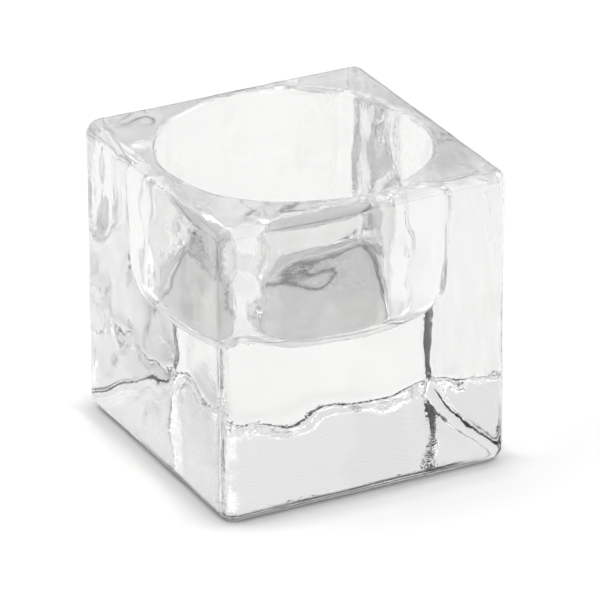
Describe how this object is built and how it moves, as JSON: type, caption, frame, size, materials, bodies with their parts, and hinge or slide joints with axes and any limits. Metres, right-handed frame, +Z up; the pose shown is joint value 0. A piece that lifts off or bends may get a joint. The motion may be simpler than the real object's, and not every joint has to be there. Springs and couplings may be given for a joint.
{
  "type": "dappen dish",
  "caption": "Square block of clear pressed glass with softly rounded edges and a wide round well in its top, for holding a little liquid or powder.",
  "frame": {"origin": "centre of the flat base, on the surface that the block stands on", "axes": "+Z up along the axis of the round well, +X and +Y square to the side faces"},
  "size_m": [0.05, 0.05, 0.05],
  "materials": {
    "clear_glass": "clear colourless pressed soda-lime glass, fire-polished, slightly rippled"
  },
  "bodies": {
    "root": {"glass_block": "clear_glass"}
  },
  "joints": []
}
